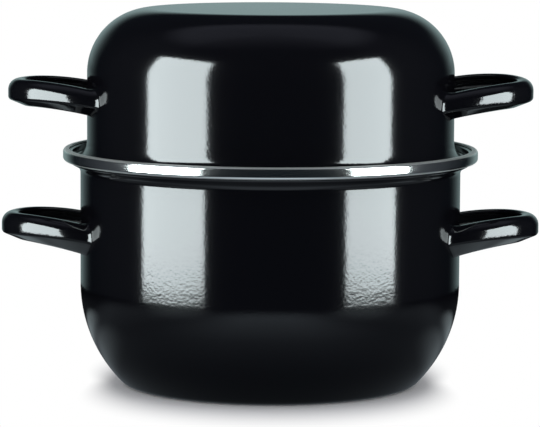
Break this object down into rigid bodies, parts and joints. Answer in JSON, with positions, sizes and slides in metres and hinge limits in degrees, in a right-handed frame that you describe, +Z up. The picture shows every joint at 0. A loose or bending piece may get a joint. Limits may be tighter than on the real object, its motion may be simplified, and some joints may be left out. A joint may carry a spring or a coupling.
{
  "type": "mussel cooking pot",
  "caption": "Deep round enamelled steel mussel pot with a steel-banded rim, and a domed lid that turns over into a bowl, both with pressed loop handles.",
  "frame": {"origin": "middle of the pot's base, on the surface that it stands on", "axes": "+Z up; the handles point along +X and -X, and the front is -Y"},
  "size_m": [0.2832, 0.2182, 0.1981],
  "materials": {
    "black_enamel": "glossy vitreous enamel on steel, with a light orange-peel",
    "rim_steel": "polished stainless steel"
  },
  "bodies": {
    "root": {"pot_body": "black_enamel", "pot_rim_band": "rim_steel", "pot_handle_left": "black_enamel", "pot_handle_right": "black_enamel", "lid_shell": "black_enamel", "lid_handle_left": "black_enamel", "lid_handle_right": "black_enamel"}
  },
  "joints": []
}
